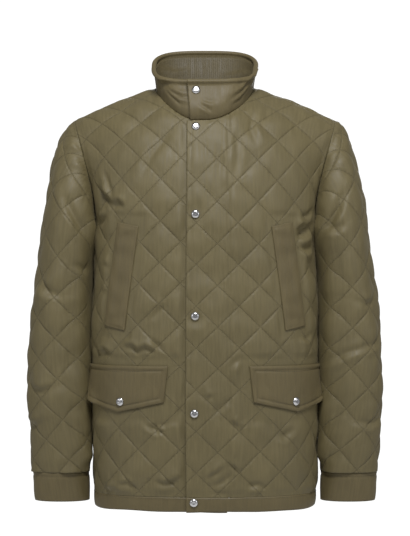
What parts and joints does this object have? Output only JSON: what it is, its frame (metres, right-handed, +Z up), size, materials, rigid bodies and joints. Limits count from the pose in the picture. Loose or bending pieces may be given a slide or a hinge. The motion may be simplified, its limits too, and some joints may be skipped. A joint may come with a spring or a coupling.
{
  "type": "quilted jacket",
  "caption": "Hip-length diamond-quilted jacket with a standing collar, snap front, flap pockets and plain cuffs, filled out and fastened.",
  "frame": {"origin": "middle of the neck opening, level with the top of the shoulder seams, where the jacket hangs on its wearer", "axes": "+X towards the wearer's left, +Y towards the back, +Z up"},
  "size_m": [0.6226, 0.2957, 0.8005],
  "materials": {
    "quilted_cloth": "olive green woven polyester with a soft sheen, quilted over thin wadding",
    "plain_cloth": "the same olive cloth, not quilted",
    "facing_cloth": "olive cloth with a fine dotted weave, inside the collar",
    "snap_metal": "polished silver metal"
  },
  "bodies": {
    "root": {"front_left": "quilted_cloth", "front_right": "quilted_cloth", "back": "quilted_cloth", "sleeve_left": "quilted_cloth", "sleeve_right": "quilted_cloth", "hem_front_left": "plain_cloth", "hem_front_right": "plain_cloth", "hem_back": "plain_cloth", "cuff_left": "plain_cloth", "cuff_right": "plain_cloth", "collar": "plain_cloth", "collar_facing": "facing_cloth", "flap_left": "plain_cloth", "flap_right": "plain_cloth", "welt_left": "plain_cloth", "welt_right": "plain_cloth", "snap_collar": "snap_metal", "snap_front_1": "snap_metal", "snap_front_2": "snap_metal", "snap_front_3": "snap_metal", "snap_front_4": "snap_metal", "snap_front_5": "snap_metal", "snap_flap_left": "snap_metal", "snap_flap_right": "snap_metal"}
  },
  "joints": []
}
